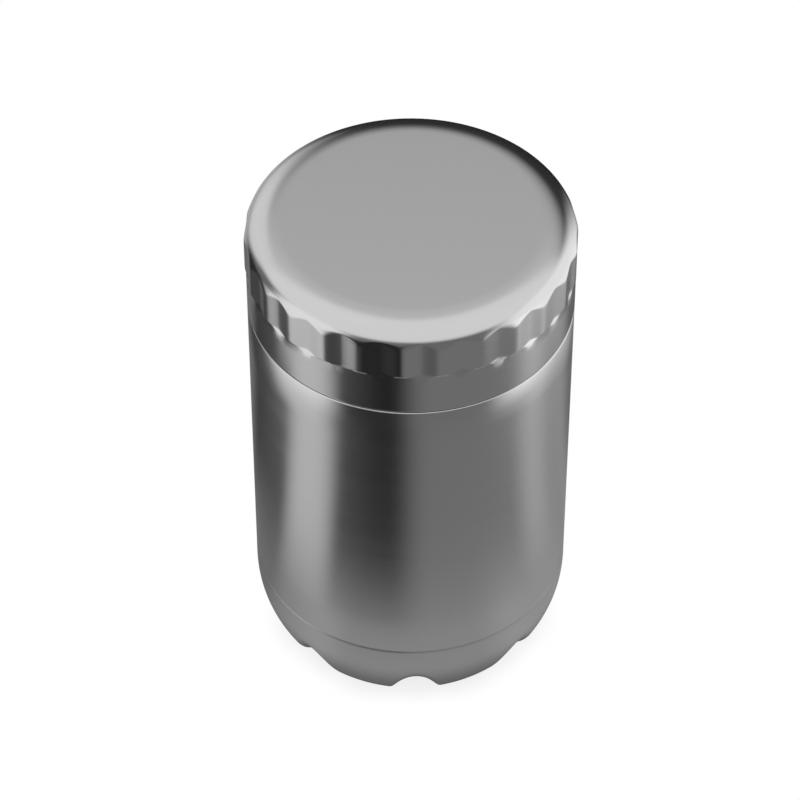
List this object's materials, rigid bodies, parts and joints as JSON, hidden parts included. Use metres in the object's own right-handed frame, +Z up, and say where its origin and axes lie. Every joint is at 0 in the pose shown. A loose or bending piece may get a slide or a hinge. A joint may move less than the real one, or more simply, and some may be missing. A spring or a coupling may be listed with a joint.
{
  "type": "insulated food jar",
  "caption": "Cylindrical double-walled steel food jar with a scalloped base and a fluted screw-on lid that seals the wide mouth.",
  "frame": {"origin": "centre of the flat foot ring that the jar stands on", "axes": "+Z up along the jar's axis, -Y the front"},
  "size_m": [0.0986, 0.0986, 0.165],
  "materials": {
    "shell_steel": "brushed around",
    "lid_steel": "satin",
    "vessel_steel": "smooth",
    "copper_foil": "foil",
    "seal_metal": "as cast",
    "getter_pill": "sintered",
    "gasket_rubber": "matte",
    "liner_plastic": "fine grain",
    "foam": "rigid foam"
  },
  "bodies": {
    "vessel": {"base_cup": "shell_steel", "outer_shell": "shell_steel", "neck_sleeve": "vessel_steel", "inner_vessel": "vessel_steel", "foil_wrap": "copper_foil", "vacuum_bottom": "vessel_steel", "seal_bead": "seal_metal", "getter": "getter_pill", "getter_clip": "vessel_steel"},
    "gasket": {"lid_gasket": "gasket_rubber"},
    "lid": {"lid_cap": "lid_steel", "lid_liner": "liner_plastic", "lid_foam": "foam", "plug_plate": "liner_plastic"}
  },
  "joints": [
    {"name": "lid_lift", "type": "slide", "parent": "vessel", "child": "gasket", "axis": [0, 0, 1], "range_m": [0, 0.0226]},
    {"name": "lid_turn", "type": "hinge", "parent": "gasket", "child": "lid", "pos_m": [0, 0, 0.148], "axis": [0, 0, 1], "range_deg": [0, 900]}
  ],
  "couplings": [
    {"joint": "lid_lift", "follows": "lid_turn", "m_per_rad": 0.0014324}
  ]
}
